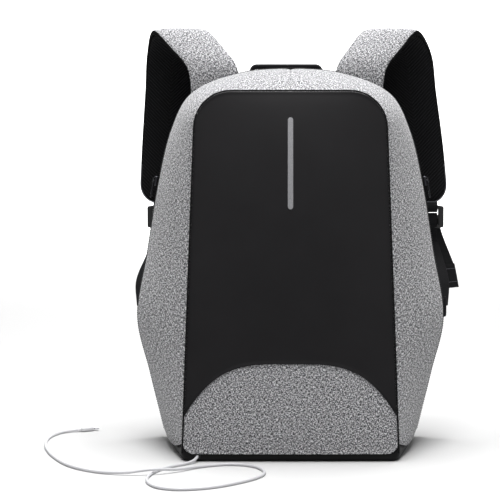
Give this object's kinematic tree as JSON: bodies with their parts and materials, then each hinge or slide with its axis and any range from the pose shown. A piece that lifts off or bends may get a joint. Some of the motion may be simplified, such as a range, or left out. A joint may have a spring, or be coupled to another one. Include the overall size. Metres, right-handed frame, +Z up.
{
  "type": "charging backpack",
  "caption": "Upright laptop backpack with a rear-opening back panel, padded straps, grab handle, pockets and a phone-charging lead.",
  "frame": {"origin": "middle of the underside of the base, on the floor", "axes": "+Z up, the front of the bag faces -Y, its back panel and straps face +Y, +X is to the right as seen from the front"},
  "size_m": [0.4707, 0.3989, 0.4763],
  "materials": {
    "grey_melange_fabric": "matte woven melange",
    "dark_coated_fabric": "smooth coated, soft sheen",
    "black_fabric": "matte",
    "black_spacer_mesh": "open mesh",
    "black_webbing": "woven webbing",
    "black_piping": "satin",
    "black_base_fabric": "coated",
    "black_plastic": "fine satin",
    "black_rubber": "matte",
    "grey_lining": "plain woven",
    "reflective_tape": "retroreflective",
    "dark_metal": "dark satin",
    "bright_metal": "plated",
    "white_plastic": "satin white",
    "white_lead": "soft satin white"
  },
  "bodies": {
    "shell": {"front_panel": "dark_coated_fabric", "reflective_strip": "reflective_tape", "pocket_panel": "grey_melange_fabric", "front_piping": "black_piping", "gusset_left": "grey_melange_fabric", "gusset_right": "grey_melange_fabric", "base_panel": "black_base_fabric", "lead_outlet": "black_rubber", "zip_tape_shell": "black_piping", "organiser_pocket": "grey_lining", "bank_pocket": "grey_lining", "power_bank": "black_plastic", "bank_plug": "white_plastic", "inner_lead": "white_lead", "charging_lead": "white_lead", "phone_connector": "white_plastic", "connector_tip": "bright_metal"},
    "back_panel": {"back_board": "black_fabric", "zip_tape_back": "black_piping", "back_pad_left": "black_spacer_mesh", "back_pad_right": "black_spacer_mesh", "lumbar_pad": "black_spacer_mesh", "strap_yoke": "black_fabric", "luggage_band": "black_fabric", "laptop_sleeve": "grey_lining", "tablet_sleeve": "grey_lining", "anchor_wing_left": "black_fabric", "anchor_wing_right": "black_fabric", "handle_anchor_left": "black_webbing", "handle_anchor_right": "black_webbing"},
    "handle": {"grab_handle": "black_webbing"},
    "strap_left": {"strap_pad_left": "grey_melange_fabric", "strap_lining_left": "black_spacer_mesh", "strap_stub_left": "black_webbing", "lower_webbing_left": "black_webbing"},
    "lock_left": {"ladder_lock_left": "black_plastic", "webbing_tail_left": "black_webbing", "tail_stop_left": "black_webbing"},
    "slider_left": {"zip_slider_left": "dark_metal"},
    "pull_left": {"zip_pull_left": "dark_metal"},
    "strap_right": {"strap_pad_right": "grey_melange_fabric", "strap_lining_right": "black_spacer_mesh", "strap_stub_right": "black_webbing", "lower_webbing_right": "black_webbing"},
    "lock_right": {"ladder_lock_right": "black_plastic", "webbing_tail_right": "black_webbing", "tail_stop_right": "black_webbing"},
    "slider_right": {"zip_slider_right": "dark_metal"},
    "pull_right": {"zip_pull_right": "dark_metal"}
  },
  "joints": [
    {"name": "back_panel_opening", "type": "hinge", "parent": "shell", "child": "back_panel", "pos_m": [0, 0.0712, 0.0125], "axis": [-1, 0, 0], "range_deg": [0, 50]},
    {"name": "handle_lift", "type": "hinge", "parent": "back_panel", "child": "handle", "pos_m": [-0.005, 0.0885, 0.402], "axis": [-1, 0, 0], "range_deg": [0, 70]},
    {"name": "strap_swing_left", "type": "hinge", "parent": "back_panel", "child": "strap_left", "pos_m": [-0.088, 0.0863, 0.392], "axis": [0.3613, -0.0085, 0.9324], "range_deg": [-8, 8]},
    {"name": "lock_tip_left", "type": "hinge", "parent": "strap_left", "child": "lock_left", "pos_m": [-0.154, 0.1475, 0.2665], "axis": [1, 0, 0], "range_deg": [0, 30]},
    {"name": "zip_run_left", "type": "slide", "parent": "shell", "child": "slider_left", "axis": [-0.1645, 0, -0.9864], "range_m": [0, 0.06]},
    {"name": "pull_flip_left", "type": "hinge", "parent": "slider_left", "child": "pull_left", "pos_m": [-0.15803, 0.06373, 0.30094], "axis": [0, 1, 0], "range_deg": [0, 150]},
    {"name": "strap_swing_right", "type": "hinge", "parent": "back_panel", "child": "strap_right", "pos_m": [0.08, 0.0863, 0.392], "axis": [-0.3879, -0.0084, 0.9217], "range_deg": [-8, 8]},
    {"name": "lock_tip_right", "type": "hinge", "parent": "strap_right", "child": "lock_right", "pos_m": [0.166, 0.1475, 0.2665], "axis": [1, 0, 0], "range_deg": [0, 30]},
    {"name": "zip_run_right", "type": "slide", "parent": "shell", "child": "slider_right", "axis": [0.1645, 0, -0.9864], "range_m": [0, 0.06]},
    {"name": "pull_flip_right", "type": "hinge", "parent": "slider_right", "child": "pull_right", "pos_m": [0.15803, 0.06373, 0.30094], "axis": [0, -1, 0], "range_deg": [0, 150]}
  ]
}
